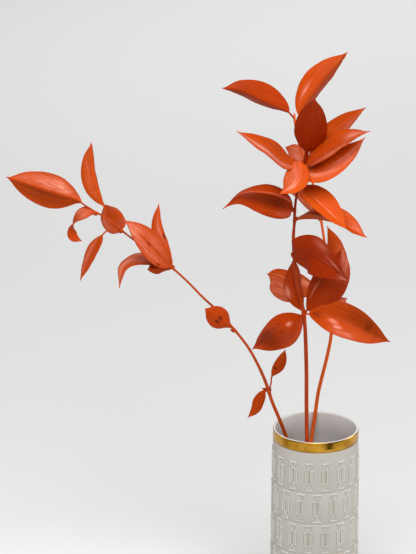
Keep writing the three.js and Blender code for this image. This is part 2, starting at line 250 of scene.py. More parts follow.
print("vase profile", len(outline), "points,", len(vase.data.polygons), "faces")

# %% [markdown]
# ## Relief figure
# The ornament is one small figure, 30 mm tall, repeated: a wedge that opens upwards, two upright
# strips side by side with a slot between them, and a wedge that opens downwards, with a dot at each
# of the strips' corners. In the mould each line is a groove that a modeller cut, so in the clay it
# stands up as a ridge with sloping sides. Each line is therefore a bar with three outlines, one on
# another: a wide one sunk in the wall, one at the shoulder, and a narrow one on top. The strips lie
# lower than the ridges that frame them. The slot, the seams beside the strips and the insides of
# the wedges are plates less than 0.1 mm proud with a darker clay: painted shade where the relief
# shades itself. The ridges and dots are marked for a paler clay, a painted highlight.

# %% Relief figure
RIDGE = [(-0.5, 0.3), (0.3, 0.08), (0.9, -0.2)]  # height above the wall, added half width
PAD = [(-0.5, 0.3), (0.5, 0.1), (1.1, -0.15)]
STRIP = [(-0.5, 0.1), (0.2, 0.0), (0.3, -0.1)]
# plates that carry the painted shade, barely proud of the wall
SHADE_PLATE = [(-0.5, 0.0), (0.04, 0.0), (0.07, -0.02)]


def bar(points, faces, layers, start, end, width):
    """Adds one bar of the figure, from start to end, in mm across and up."""
    start, end = np.array(start, float), np.array(end, float)
    along = (end - start) / np.linalg.norm(end - start)
    side = np.array([along[1], -along[0]])
    first = len(points)
    for height, grow in layers:
        half = width / 2 + grow
        for point, ahead, aside in ((start, -grow, half), (start, -grow, -half),
                                    (end, grow, -half), (end, grow, half)):
            x, z = point + along * ahead + side * aside
            points.append((x, height, z))
    for layer in (0, 4):
        for k in range(4):
            n = (k + 1) % 4
            a, b = first + layer + k, first + layer + n
            faces.append((b, a, a + 4, b + 4))
    faces.append(tuple(first + k for k in (0, 1, 2, 3)))
    faces.append(tuple(first + 8 + k for k in (3, 2, 1, 0)))


HALF_FIGURE = [  # layers, from, to, width: the right half, mirrored for the left
    (PAD, (2.7, 14.4), (3.5, 14.4), 1.3),
    (RIDGE, (0.75, 7.6), (2.9, 13.8), 0.6),
    (PAD, (3.7, 6.9), (4.3, 6.9), 1.5),
    (RIDGE, (0.7, 7.3), (3.7, 6.9), 0.5),
    (RIDGE, (1.35, -6.4), (1.35, 6.6), 0.5),
    (RIDGE, (3.95, -6.4), (3.95, 6.4), 0.6),
    (PAD, (3.7, -7.1), (4.3, -7.1), 1.5),
    (RIDGE, (0.7, -7.1), (3.7, -7.1), 0.5),
    (RIDGE, (0.65, -7.4), (2.9, -13.9), 0.6),
    (PAD, (2.6, -14.3), (3.3, -14.3), 1.1),
    (STRIP, (2.65, -6.2), (2.65, 6.2), 2.0),
    (SHADE_PLATE, (4.8, -6.6), (4.8, 6.6), 0.6),
    (SHADE_PLATE, (1.75, 8.4), (3.8, 13.4), 0.5),
    (SHADE_PLATE, (1.65, -8.4), (3.7, -13.2), 0.5),
]
MIDDLE_BARS = [(PAD, (-3.2, 14.4), (3.2, 14.4), 0.9), (RIDGE, (-3.1, -14.3), (3.1, -14.3), 0.8),
               (SHADE_PLATE, (0, -6.8), (0, 7.0), 1.6)]
mirrored = [(layers, (-start[0], start[1]), (-end[0], end[1]), width)
            for layers, start, end, width in HALF_FIGURE]
figure_points, figure_faces, clays = [], [], []
for layers, start, end, width in HALF_FIGURE + mirrored + MIDDLE_BARS:
    before = len(figure_faces)
    bar(figure_points, figure_faces, layers, start, end, width)
    clays += [layers] * (len(figure_faces) - before)

middle_radius = wall_radius(FIRST_ROW_MIDDLE - 2 * ROW_PITCH)


def bent(x, height, z):
    """Wraps a point of the flat figure onto the curve of the wall, and gives it in metres."""
    turn, reach = x / middle_radius, middle_radius + height
    return reach * math.sin(turn) * MM, (middle_radius - reach * math.cos(turn)) * MM, z * MM


relief_figure = mesh_object("relief_figure", [bent(*p) for p in figure_points], figure_faces)
# faces for the painted highlight on ridges and dots, and for the painted shade on the plates
for clay, bars in (("ridge", (RIDGE, PAD)), ("hollow", (SHADE_PLATE,))):
    chosen = [any(layers is wanted for wanted in bars) for layers in clays]
    relief_figure.data.attributes.new(clay, "BOOLEAN", "FACE").data.foreach_set("value", chosen)
print("figure of", len(figure_faces), "faces")

# %% [markdown]
# ## Rows of figures
# Copying the figure by hand 80 times would fix it for ever. A Geometry Nodes tree places it by
# rule instead. A circle with one corner for each figure is set at every row's height, scaled to the
# wall's radius there and turned half a step further than the row above. A figure then goes on
# every corner, faces outwards and leans with the wall. The tree's named inputs are the sizes that a
# potter would give. The export can't read instances, so every tree ends by making them real.

# %% Node tree helpers
def new_tree(name, inputs):
    """Starts a node tree that changes a mesh, and gives it with its named inputs' sockets."""
    tree = bpy.data.node_groups.new(name, "GeometryNodeTree")
    for label, kind in {"Geometry": "Geometry", **inputs}.items():
        tree.interface.new_socket(label, in_out="INPUT", socket_type="NodeSocket" + kind)
    tree.interface.new_socket("Geometry", in_out="OUTPUT", socket_type="NodeSocketGeometry")
    return tree, add(tree, "NodeGroupInput").outputs


def end_tree(tree, geometry, materials):
    """Ends a tree: instances made real, then each material on the faces marked for it, or all."""
    clad = add(tree, "GeometryNodeRealizeInstances", [geometry])
    for mark, material in materials.items():
        clad = add(tree, "GeometryNodeSetMaterial", {"Geometry": clad, "Material": material})
        if mark:
            feed(clad, {"Selection": add(tree, "GeometryNodeInputNamedAttribute", {"Name": mark},
                                         data_type="BOOLEAN")})
    add(tree, "NodeGroupOutput", [clad])
    print(tree.name, "tree of", len(tree.nodes), "nodes")


def grow(carrier, tree, name, values):
    """Runs a node tree on an object and gives back its result as an object with a plain mesh."""
    modifier = carrier.modifiers.new(tree.name, "NODES")
    modifier.node_group = tree
    for item in tree.interface.items_tree:
        if item.in_out == "INPUT" and item.name in values:
            modifier[item.identifier] = values[item.name]
    graph = bpy.context.evaluated_depsgraph_get()
    mesh = bpy.data.meshes.new_from_object(
        carrier.evaluated_get(graph), preserve_all_data_layers=True, depsgraph=graph)
    mesh.name = name
    carrier.modifiers.remove(modifier)
    bpy.data.objects.remove(carrier)
    return placed(name, mesh)


print("tree helpers ready")

# %% Tree that sets figures round a vase
tree, given = new_tree("rows of relief figures", {
    "Figure": "Object", "Rows": "Int", "Figures round": "Int", "First row height": "Float",
    "Row pitch": "Float", "First turn": "Float", "Foot radius": "Float", "Lip radius": "Float",
    "Vase height": "Float", "Wall": "Material", "Ridge": "Material", "Hollow": "Material"})
rows_tree = tree
QUARTER_TURN = math.pi / 2

# one point for each row, on the axis
down = add(tree, "ShaderNodeMath", (given["Row pitch"], -1), operation="MULTIPLY")
top = add(tree, "ShaderNodeCombineXYZ", {"Z": given["First row height"]})
pitch = add(tree, "ShaderNodeCombineXYZ", {"Z": down})
levels = add(tree, "GeometryNodeMeshLine", {
    "Count": given["Rows"], "Start Location": top, "Offset": pitch})

# the circle of each row
half_step = add(tree, "ShaderNodeMath", (math.pi, given["Figures round"]), operation="DIVIDE")
row = add(tree, "GeometryNodeInputIndex")
from_front = add(tree, "ShaderNodeMath", (given["First turn"], -QUARTER_TURN), operation="ADD")
row_turn = add(tree, "ShaderNodeMath", (row, half_step, from_front), operation="MULTIPLY_ADD")
row_height = add(tree, "ShaderNodeSeparateXYZ", [add(tree, "GeometryNodeInputPosition")])
radius = add(tree, "ShaderNodeMapRange", (
    row_height.outputs["Z"], 0, given["Vase height"], given["Foot radius"], given["Lip radius"]))
circle = add(tree, "GeometryNodeMeshCircle", {"Vertices": given["Figures round"], "Radius": 1})
circles = add(tree, "GeometryNodeInstanceOnPoints", {
    "Points": levels, "Instance": circle,
    "Rotation": add(tree, "ShaderNodeCombineXYZ", {"Z": row_turn}),
    "Scale": add(tree, "ShaderNodeCombineXYZ", (radius, radius, 1))})
corners = add(tree, "GeometryNodeRealizeInstances", [circles])

# a figure on each corner, turned to face outwards and leaning with the wall
corner = add(tree, "ShaderNodeSeparateXYZ", [add(tree, "GeometryNodeInputPosition")]).outputs
bearing = add(tree, "ShaderNodeMath", (corner["Y"], corner["X"]), operation="ARCTAN2")
facing = add(tree, "ShaderNodeMath", (bearing, QUARTER_TURN), operation="ADD")
taper = add(tree, "ShaderNodeMath", (given["Lip radius"], given["Foot radius"]),
            operation="SUBTRACT")
lean = add(tree, "ShaderNodeMath", (taper, given["Vase height"]), operation="ARCTAN2")
figure = add(tree, "GeometryNodeObjectInfo", {"Object": given["Figure"]}).outputs["Geometry"]
figures = add(tree, "GeometryNodeInstanceOnPoints", {
    "Points": corners, "Instance": figure,
    "Rotation": add(tree, "ShaderNodeCombineXYZ", {"X": lean, "Z": facing})})
# ridges and dots take the painted highlight, the plates the painted shade
end_tree(tree, figures, {"": given["Wall"], "ridge": given["Ridge"], "hollow": given["Hollow"]})

# %% [markdown]
# ## Bisque porcelain
# Bisque is porcelain fired without a glaze. It is matt and very slightly sandy, because nothing
# fills the grain of the clay: light spreads evenly over it, and only a faint bloom shows at
# grazing angles. The grain is about 0.3 mm, drawn at 0.6 mm so that it shows at all. Cloudy
# patches some 45 mm wide are where the slip was thicker. The ridges take a paler bisque, a painted
# highlight where they catch the light, and the plates in the hollows a greyer one, painted shade.
# The glaze inside is smooth; its colour is a painted highlight at the lip and painted shade further
# down.

# %% Bisque and glaze
BISQUES = {}
# the plain wall, a paler bisque that paints a highlight on the ridges, and a greyer one that paints
# shade in the hollows
for name, thin_slip, thick_slip in (
        ("bisque porcelain, slip cast and fired unglazed", "B0ABA2", "B9B4AC"),
        ("bisque porcelain, rubbed pale on its ridges", "C6C3BB", "CECBC5"),
        ("bisque porcelain, dusty in its hollows", "9B958A", "A59F95")):
    BISQUES[name], tree, shader = new_material(name)
    where = add(tree, "ShaderNodeTexCoord").outputs["Object"]
    cloud = add(tree, "ShaderNodeTexNoise", {"Vector": where, "Scale": 22, "Detail": 3})
    grain = add(tree, "ShaderNodeTexNoise", {"Vector": where, "Scale": 1600, "Detail": 4})
    tint = add(tree, "ShaderNodeMix", {
        "Factor": cloud, "A": linear(thin_slip), "B": linear(thick_slip)}, data_type="RGBA")
    sand = add(tree, "ShaderNodeBump", {"Strength": 0.35, "Distance": 0.0002, "Height": grain})
    feed(shader, {"Base Color": tint, "Normal": sand, "Roughness": 0.78,
                  "Specular IOR Level": 0.35})
BISQUE, HIGHLIT_RIDGES, SHADED_HOLLOWS = BISQUES.values()

SHADED_BELOW, LIT_ABOVE = 0.193, 0.214  # heights in metres from painted shade inside to a painted highlight at the lip
GLAZE, tree, shader = new_material("clear glaze over porcelain, poured inside")
where = add(tree, "ShaderNodeTexCoord").outputs["Object"]
pool = add(tree, "ShaderNodeTexNoise", {"Vector": where, "Scale": 30, "Detail": 2})
height = add(tree, "ShaderNodeSeparateXYZ", [where]).outputs["Z"]
# painted shade: darker further down inside, and a painted highlight towards the lip
shade_to_lip_light = add(tree, "ShaderNodeMapRange", (height, SHADED_BELOW, LIT_ABOVE))
tint = add(tree, "ShaderNodeMix", {
    "Factor": shade_to_lip_light, "A": linear("B6B3AF"), "B": linear("E4E2DF")}, data_type="RGBA")
flow = add(tree, "ShaderNodeBump", {"Strength": 0.12, "Distance": 0.001, "Height": pool})
feed(shader, {"Base Color": tint, "Normal": flow, "Roughness": 0.22})

vase.data.materials.append(BISQUE)
vase.data.materials.append(GLAZE)
for face in vase.data.polygons:
    radius = math.hypot(face.center.x, face.center.y)
    over_lip = face.center.z > (VASE_HEIGHT - 0.5) * MM
    if over_lip or (radius < (inside + 0.1) * MM and face.center.z > VASE_FLOOR / 2 * MM):
        face.material_index = 1
print("materials", ", ".join(BISQUES), "and", GLAZE.name)

# %% Set the figures round the vase
FIGURES_ROUND = 16
FIRST_TURN = -10.4  # degrees from the front to the first figure of the top row
relief = grow(mesh_object("relief_anchor", [(0, 0, 0)], []), rows_tree, "vase_relief", {
    "Figure": relief_figure, "Rows": ROWS, "Figures round": FIGURES_ROUND,
    "First row height": FIRST_ROW_MIDDLE * MM, "Row pitch": ROW_PITCH * MM,
    "First turn": math.radians(FIRST_TURN), "Foot radius": FOOT_RADIUS * MM,
    "Lip radius": LIP_RADIUS * MM, "Vase height": VASE_HEIGHT * MM, "Wall": BISQUE,
    "Ridge": HIGHLIT_RIDGES, "Hollow": SHADED_HOLLOWS})
bpy.data.objects.remove(relief_figure)
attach(vase, "root")
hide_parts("vase")
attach(relief, "root")
print("relief of", len(relief.data.polygons), "faces")

# %% [markdown]
# ## Gold band
# Liquid gold is brushed round the fired lip in a band 10 mm wide and burnished. It has hardly any
# thickness, but it covers the edge of the rounding, and that edge catches the light as one bright
# line. A thin closed ring a tenth of a millimetre proud of the wall gives it an edge to see.

# %% Gold band
BAND_LOW, BAND_STOPS = 204.4, (208, 211)
BAND_END = 52  # degrees up the rounding of the lip
PROUD, SUNK = 0.1, 0.2
lip_r, lip_z = LIP_RADIUS - LIP_ROUND, VASE_HEIGHT - LIP_ROUND
band_out = [(wall_radius(BAND_LOW) - 0.15, BAND_LOW - 0.05)]
band_out += [(wall_radius(z) + PROUD, z) for z in (BAND_LOW, *BAND_STOPS)]
band_out += arc(lip_r, lip_z, LIP_ROUND + PROUD, 0, BAND_END, 6)
band_in = arc(lip_r, lip_z, LIP_ROUND - SUNK, 0, BAND_END, 6)[::-1]
band_in.append((wall_radius(BAND_STOPS[0]) - 0.3, BAND_STOPS[0]))
band = turned("gold_band", band_out + band_in, closed=True)
print("band", len(band.data.polygons), "faces")

# %% [markdown]
# ## Burnished gilding
# Gilding on porcelain is nearly pure gold a few thousandths of a millimetre thick, rubbed bright
# with an agate. It mirrors the room, a little blurred, and keeps faint marks of the brush round the
# band. The marks here are about 0.7 mm apart, coarser than real ones, so that they show.

# %% Gilding
GILDING, tree, shader = new_material("gilding, brushed on and burnished")
where = add(tree, "ShaderNodeTexCoord").outputs["Object"]
rounds = add(tree, "ShaderNodeMapping", {"Vector": where, "Scale": (40, 40, 1400)})
marks = add(tree, "ShaderNodeTexNoise", {"Vector": rounds, "Scale": 1, "Detail": 3})
patch = add(tree, "ShaderNodeTexNoise", {"Vector": where, "Scale": 55, "Detail": 3})
uneven = add(tree, "ShaderNodeMapRange", (patch, 0.36, 0.62))
tint = add(tree, "ShaderNodeMix", {
    "Factor": uneven, "A": linear("8C6014"), "B": linear("C69432")}, data_type="RGBA")
blur = add(tree, "ShaderNodeMapRange", (marks, 0, 1, 0.16, 0.32))
dents = add(tree, "ShaderNodeBump", {"Strength": 0.25, "Distance": 0.0001, "Height": marks})
feed(shader, {"Base Color": tint, "Roughness": blur, "Normal": dents, "Metallic": 1})
band.data.materials.append(GILDING)
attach(band, "root")
print("gilding set")

# %% [markdown]
# ## The three stems
# Each stem is known by the points that it grows through, in millimetres, with a name where leaves
# leave it. The same points made the solids, so the fine stems lie exactly on them. `tones` gives
# its colour at shares of the way up, from 0, deep red, to 1, bright orange, and `sheath` is the
# height at which the old sheath of a bract still clasps the stem, so that it steps from thicker to
# thinner.

# %% Stems
STEM_FOOT = VASE_FLOOR + 1
STEMS = {
    "centre": dict(foot=(4, -16), thick=4.3, thin=2.0, sheath=436,
                   tones=((0, 0.2), (0.72, 0.1), (0.78, 0.75), (1, 0.7)), route=[
        ("", -10, -36, 215), ("", -11, -38, 248), ("", -12, -40, 300), ("low", -15, -42, 350),
        ("", -19, -42, 369), ("", -23, -43, 390), ("mid", -25, -43, 409), ("", -26, -43, 428),
        ("right", -25, -42, 445), ("left", -25, -42, 454), ("droop", -22, -41, 478),
        ("high", -16, -40, 499), ("", -20, -39, 514), ("crown", -24, -38, 531),
        ("tip", -26, -37, 544), ("", -26, -36, 549)]),
    "back": dict(foot=(-24, -24), thick=4.2, thin=2.4, sheath=300,
                 tones=((0, 0.75), (1, 0.95)), route=[
        ("", -3, 28, 189), ("", 1, 36, 216), ("", 4, 42, 236), ("", 13, 52, 272),
        ("", 17, 58, 294), ("low", 16, 66, 326), ("", 14, 73, 356), ("", 10, 78, 381),
        ("mid", 6, 83, 406), ("", 2, 86, 426), ("", -3, 88, 444), ("tip", -7, 89, 459)]),
    "side": dict(foot=(27, 22), thick=3.8, thin=1.8, sheath=272,
                 tones=((0, 0.45), (0.5, 0.35), (1, 0.35)), route=[
        ("", -29, 16, 198), ("", -36, 10, 219), ("", -44, 11, 239), ("first", -47, 11, 249),
        ("", -52, 12, 263), ("", -60, 12, 281), ("", -67, 12, 294), ("", -75, 11, 306),
        ("second", -81, 10, 314), ("", -93, 9, 329), ("", -103, 8, 340), ("", -112, 7, 349),
        ("", -129, 5, 368), ("third", -142, 3, 381), ("", -164, 1, 399), ("", -183, 0, 414),
        ("fourth", -191, -1, 421), ("fifth", -205, -2, 434), ("sixth", -215, -3, 440),
        ("tip", -227, -4, 448)]),
}
print("stems", ", ".join(STEMS))

# %% [markdown]
# ## The leaves
# What looks like a leaf on ruscus is really a flattened twig, but it behaves as a leaf: a stalk, a
# midrib, two halves and a drawn-out tip. Each row below gives a leaf's joint, the half width of its
# blade, points along its midrib, and how far its left and then its right half turn away from the
# front: one angle, or one near the stalk, one in the middle and one at the tip. Then comes its
# tone, from 0, deep red, to 1, bright orange, which is partly how the dye took and partly painted
# shade and light for how the leaf's face is lit. Each of its marks says where it lies across the
# blade, from -1 to 1, and along it, from 0 to 1, how far it reaches both ways, and what it is:
# above
# 0 a pale pink painted highlight, down to -1 painted shade, partly deeper dye, and below -1.2 the
# skin has a dark scar.
#
# Whatever is unusual about a leaf's shape has a name. `neck` is the share of its length that is
# bare stalk, and `stalk` is how wide that is. `widest` is where the blade is widest, `full` says
# how quickly it narrows from there to the tip, and `slim` how quickly back to the stalk. `curl`
# rolls a margin over by so many degrees, and where `crease` is given, the roll is a fold at that
# share of the way out. `front` is the way that the leaf faces. A pair of values is for the left
# and the right half.

# %% Leaves
FRONT = (0, -0.94, 0.34)  # which way an ordinary leaf faces: forwards and a little up


def leaf(joint, half, rib, left, right, tone, marks=(), **unusual):
    shape = dict(neck=0.06, stalk=1.5, widest=0.42, full=0.9, curl=0, crease=None, front=FRONT)
    shape.update(unusual)
    shape.setdefault("slim", shape["full"])
    return dict(joint=joint, half=half, rib=rib, left=left, right=right, tone=tone, marks=marks,
                **shape)


LEAVES = {"centre": [
    leaf("tip", 16.5, [(-32, -38, 551), (-57, -43, 564), (-78, -48, 575), (-95, -52, 578)],
         (81, 81, 72), (12, 12, 18), 0.3, [(0.3, 0.75, 0.5, 0.2, -0.2)],
         neck=0.11, full=1, slim=0.9),
    leaf("crown", 17.3, [(-20, -34, 550), (-8, -30, 568), (7, -26, 587), (24, -20, 604.8)],
         (35, 15, 15), (76, 77, 65), 0.7,
         [(-0.5, 0.42, 0.1, 0.1, 0.8), (0.4, 0.6, 0.5, 0.4, -0.35), (-0.3, 0.75, 0.3, 0.12, -0.2),
          (0, 0.97, 1, 0.06, -0.5)], neck=0.18),
    leaf("high", 15, [(-34, -52, 505), (-54, -60, 522), (-70, -64, 533), (-81, -66, 540)],
         (-68, -68, -60), (30, 45, 50), 0.7,
         [(-0.35, 0.7, 0.3, 0.28, 1.1), (-0.6, 0.45, 0.2, 0.2, 0.8), (0.6, 0.4, 0.4, 0.3, -0.4)]),
    leaf("high", 14.9, [(-14, -48, 517), (-12, -62, 539), (-9, -86, 577)],
         (25, 25, 20), (12, 12, 10), 0.12, [(0, 0.2, 1, 0.06, -0.5)],
         neck=0.2, stalk=4, widest=0.36, full=0.75),
    leaf("high", (12, 12.2), [(-21, -52, 506), (-23, -62, 503), (-25, -78, 499), (-30, -94, 495),
         (-41, -104, 490)], 15, 20, 1, [(-0.1, 0.8, 0.25, 0.14, 1), (0.2, 0.5, 0.6, 0.3, 0.35)],
         widest=0.5, full=0.75, slim=1.1, front=(0, -0.5, 0.87)),
    leaf("high", 16.8, [(0, -56, 515), (20, -68, 531), (34, -76, 540), (43, -80, 544)],
         (18, 38, 62), (-70, -70, -65), 0.7,
         [(-0.2, 0.82, 0.4, 0.13, 1), (0.72, 0.5, 0.2, 0.25, 0.7), (0.2, 0.42, 0.08, 0.04, 1),
          (-0.9, 0.35, 0.5, 0.15, -0.5)]),
    leaf("high", 15.5, [(-10, -54, 498), (1, -62, 501), (21, -62, 514), (40, -58, 532)],
         20, (-46, -48, -35), 1,
         [(0.38, 0.35, 0.2, 0.14, 1), (0.05, 0.7, 0.14, 0.18, 1), (0.5, 0.75, 0.4, 0.3, 0.6)],
         widest=0.33, slim=0.7),
    leaf("droop", 14.5, [(-18, -50, 478), (-2, -62, 468), (13, -72, 456), (24, -78, 447)],
         15, (-58, -58, -50), 1, [(-0.02, 0.62, 0.03, 0.3, 1.6), (-0.7, 0.45, 0.3, 0.5, -0.15)]),
    leaf("left", (14, 20.5), [(-35, -50, 460), (-52, -57, 467), (-72, -63, 473), (-81, -66, 473),
         (-94, -70, 465)], -30, (-15, -10, 72), 0.3,
         [(0.2, 0.6, 0.6, 0.32, -1), (0.15, 0.3, 0.5, 0.22, -0.6), (-0.9, 0.6, 0.3, 0.4, -0.3),
          (0.05, 0.98, 1, 0.05, 0.6), (-0.6, 0.25, 0.3, 0.2, 0.4)],
         widest=0.33, full=1.1, slim=(0.8, 0.5), curl=(0, 84), crease=0.42),
    leaf("right", 16.5, [(-17, -46, 448), (1, -52, 449), (22, -60, 445), (43, -68, 436)],
         (50, 20, 15), (-112, -95, -60), 0.8,
         [(-0.85, 0.35, 0.25, 0.2, 0.8), (0.85, 0.4, 0.4, 0.25, -0.7),
          (-0.3, 0.85, 0.4, 0.1, 0.4)]),
    leaf("mid", (22.5, 15), [(-24, -50, 410), (-13, -60, 414), (3, -72, 410), (26, -82, 397)],
         (-12, -32, -65), (20, 20, 15), 0.05,
         [(-0.75, 0.48, 0.18, 0.1, 0.35), (-0.45, 0.74, 0.08, 0.14, 0.5),
          (-0.2, 0.6, 0.05, 0.1, 0.4), (0.1, 0.5, 0.04, 0.12, 0.35), (0.3, 0.93, 0.8, 0.08, 0.5),
          (0.3, 0.4, 0.5, 0.3, -0.2), (-0.2, 0.3, 0.5, 0.15, -0.25)],
         widest=0.38, full=0.9, slim=(0.45, 1.3)),
    leaf("low", 12.5, [(-20, -38, 362), (-24, -34, 374), (-25, -32, 386), (-25, -34, 405)],
         (30, 40, 70), (55, 60, 30), 0.2, [(-0.7, 0.41, 0.22, 0.07, 1.1)], full=1.15),
    leaf("low", 18, [(-6, -45, 362), (6, -52, 382), (16, -58, 402), (19, -62, 424)],
         30, (10, 10, 30), 0.2, [(-0.5, 0.32, 0.06, 0.1, 0.9), (0.6, 0.85, 0.4, 0.15, 0.6)]),
    leaf("low", 17, [(5, -50, 352), (29, -58, 346), (49, -62, 337), (68, -64, 329)],
         (-5, -15, -20), (-25, -25, -20), 0.65,
         [(0.26, 0.35, 0.09, 0.05, 1.9), (0.5, 0.42, 0.09, 0.04, 1.5),
          (0.75, 0.52, 0.14, 0.1, 0.6), (-0.4, 0.6, 0.6, 0.25, -0.45),
          (-0.3, 0.72, 0.5, 0.035, -0.5), (0.1, 0.82, 0.5, 0.03, -0.4),
          (0.1, 0.14, 0.4, 0.07, -0.7), (-0.9, 0.75, 0.7, 0.35, -0.5),
          (0.3, 0.97, 0.8, 0.12, -0.6)], full=0.85, slim=1),
    leaf("low", 17.3, [(-23, -54, 348), (-39, -74, 344), (-53, -88, 339), (-66, -97, 334)],
         (20, 5, 0), (15, 48, 55), 0.3,
         [(0.05, 0.34, 0.14, 0.05, 1.1), (-0.5, 0.4, 0.3, 0.2, -0.3), (0.5, 0.7, 0.3, 0.1, -0.5),
          (-0.1, 0.78, 1, 0.25, -1.1), (-0.5, 0.9, 0.4, 0.1, 0.5), (0.42, 0.44, 0.04, 0.014, -2),
          (0.37, 0.53, 0.04, 0.014, -2), (-0.11, 0.51, 0.04, 0.014, -1.8)], full=0.8),
], "back": [
    leaf("tip", 9.5, [(-15, 94, 468), (-23, 99.8, 474), (-30, 103.5, 476)], 30, 20, 0.5,
         [(0, 0.5, 1, 0.5, 0.5)], widest=0.5, full=0.7),
    leaf("tip", 13, [(6, 92, 483), (29, 94.8, 505), (50, 98, 519)], 38, 45, 0.65,
         [(0.6, 0.8, 0.35, 0.4, 0.3)]),
    leaf("mid", (7, 9), [(-2, 82, 420), (-15, 80, 434), (-32, 78, 441)], 35, 20, 0.5,
         [(0, 0.5, 1, 0.5, 0.5)]),
    leaf("low", (8, 14), [(22, 64, 346), (19, 60, 373), (15, 58, 395), (11, 57, 408)],
         45, 25, 0.65, [(0.6, 0.59, 0.25, 0.1, 0.5)], full=0.8),
    leaf("low", (22, 11), [(-15, 58, 346), (-29, 54, 352), (-41, 50, 359), (-49, 46, 361)],
         (15, 20, 25), (25, 30, 30), 0.85,
         [(-0.6, 0.75, 0.5, 0.3, 0.4), (0.1, 0.8, 0.05, 0.3, 0.7), (0.35, 0.42, 0.3, 0.12, 1.1)],
         widest=0.58, full=0.75, slim=(2.4, 0.5)),
    leaf("low", 8, [(24, 78, 319), (34, 90, 320)], 20, 20, 0.6, [(0, 0.6, 1, 0.4, 0.5)]),
], "side": [
    leaf("tip", 18.3, [(-234, -6, 454), (-265, -10, 466), (-285, -14, 474), (-302, -18, 481)],
         40, (25, 25, 22), 0.65,
         [(0.4, 0.33, 0.35, 0.16, 0.8), (0.5, 0.62, 0.35, 0.25, 0.45),
          (-0.55, 0.5, 0.4, 0.7, -0.45), (-0.17, 0.48, 0.13, 0.45, -0.7)],
         slim=1.3, curl=(-20, 0)),
    leaf("fifth", 12.5, [(-209, -2, 447), (-217, -4, 474), (-220, -6, 495), (-220, -8, 513)],
         10, (85, 85, 75), 0.8, [(-0.45, 0.6, 0.25, 0.35, 0.2)], neck=0.18),
    leaf("sixth", 9.5, [(-226, -6, 442), (-235, -10, 436), (-240, -14, 427), (-238, -16, 420),
         (-230, -17, 416)], (0, -80, -170), (0, 80, 170), 0.6,
         [(0, 0.3, 1, 0.15, 0.5), (0, 0.82, 1, 0.15, -0.2)], widest=0.5, full=0.8),
    leaf("fourth", 11.8, [(-199, 16, 424), (-205, 30, 430), (-210, 44, 434)], 20, 30, 0.6,
         [(-0.7, 0.6, 0.3, 0.5, 0.4), (0.3, 0.5, 0.5, 0.5, -0.4)],
         neck=0.05, widest=0.5, full=0.42, slim=0.75),
    leaf("fourth", 7.8, [(-206, -10, 424), (-214, -16, 416), (-223, -22, 400), (-232, -28, 379)],
         -50, 45, 0.55, [(0.4, 0.6, 0.3, 0.4, 0.4)], neck=0.34, widest=0.36),
    leaf("third", (12.5, 14.5), [(-154, -8, 398), (-168, -14, 416), (-181, -18, 431),
         (-189, -20, 439)], -22, (35, 33, 25), 0.6,
         [(-0.2, 0.86, 0.8, 0.16, 0.7), (-0.5, 0.55, 0.3, 0.35, 0.4), (0.3, 0.55, 0.3, 0.3, 0.25),
          (0, 0.5, 0.03, 0.6, -0.8), (-0.06, 0.54, 0.06, 0.02, -2.2),
          (-0.75, 0.26, 0.08, 0.02, -2.2), (0.95, 0.1, 0.3, 0.025, -2.2)]),
    leaf("third", (8.5, 6.5), [(-151, 10, 403), (-157, 16, 422), (-156, 20, 443)],
         30, (50, 50, 40), 0.75, [(0, 0.55, 0.3, 0.3, 0.4), (0.56, 0.49, 0.2, 0.04, -2.4)]),
    leaf("third", 10.5, [(-167, 10, 388), (-180, 9, 388), (-191, 6, 381), (-195, 0, 362)],
         -60, 55, 1, [(0.3, 0.7, 0.6, 0.4, 0.8)]),
    leaf("third", 8.5, [(-153, -2, 384), (-167, -6, 383)], 52, 20, 0.4, widest=0.55),
    leaf("second", 11, [(-92, 2, 326), (-102, -2, 335), (-111, -4, 342)], 20, 20, 0.5,
         [(0.08, 0.56, 0.1, 0.05, -2.2), (-0.33, 0.56, 0.1, 0.05, -2.2)],
         neck=0.14, widest=0.5, full=0.8, slim=1.6),
    leaf("first", 5.4, [(-45, 11, 257), (-44, 11, 265), (-36, 9, 279), (-31, 7, 295)], 20, 20, 0.6,
         [(-0.33, 0.52, 0.3, 0.02, -2.2)], neck=0.34, slim=1.2),
    leaf("first", 5.4, [(-51, 9, 250), (-57, 7, 240), (-60, 6, 232), (-68, 5, 223)], 20, 20, 0.5,
         neck=0.12),
    leaf("first", 1.1, [(-50, 11, 251), (-54, 11, 252)], 20, 20, 0.4),
]}
print("leaves", {name: len(rows) for name, rows in LEAVES.items()})

# %% [markdown]
# ## A smooth line through points
# A stem or a midrib bends gently through its points. A Catmull-Rom curve does that, and its
# centripetal form doesn't loop where points crowd together. Lengths along it are measured on 200
# short chords, so that an even share of the length can be asked for.

# %% Smooth line
CHORDS = np.linspace(0, 1, 201)


def unit(vectors):
    return vectors / np.linalg.norm(vectors, axis=-1, keepdims=True)


def smooth_line(points):
    """Gives the point at a share of the parameter, the point at a share of the length, and the
    length."""
    points = np.array(points, float)
    ends = np.vstack([2 * points[0] - points[1], points, 2 * points[-1] - points[-2]])
    spans = np.sqrt(np.linalg.norm(np.diff(ends, axis=0), axis=1))

    def at(shares):
        place = np.clip(np.asarray(shares, float), 0, 1) * (len(points) - 1)
        k = np.minimum(place.astype(int), len(points) - 2)
        t = (place - k)[:, None]
        p0, p1, p2, p3 = (ends[k + i] for i in range(4))
        d0, d1, d2 = (spans[k + i][:, None] for i in range(3))
        m1 = ((p1 - p0) / d0 - (p2 - p0) / (d0 + d1) + (p2 - p1) / d1) * d1
        m2 = ((p2 - p1) / d1 - (p3 - p1) / (d1 + d2) + (p3 - p2) / d2) * d1
        return (p1 + m1 * t + (3 * (p2 - p1) - 2 * m1 - m2) * t ** 2
                + (2 * (p1 - p2) + m1 + m2) * t ** 3)

    chords = np.linalg.norm(np.diff(at(CHORDS), axis=0), axis=1)
    lengths = np.concatenate([[0], np.cumsum(chords)])

    def by_length(shares):
        return at(np.interp(np.asarray(shares) * lengths[-1], lengths, CHORDS))

    return at, by_length, lengths[-1]


print("smooth line ready")
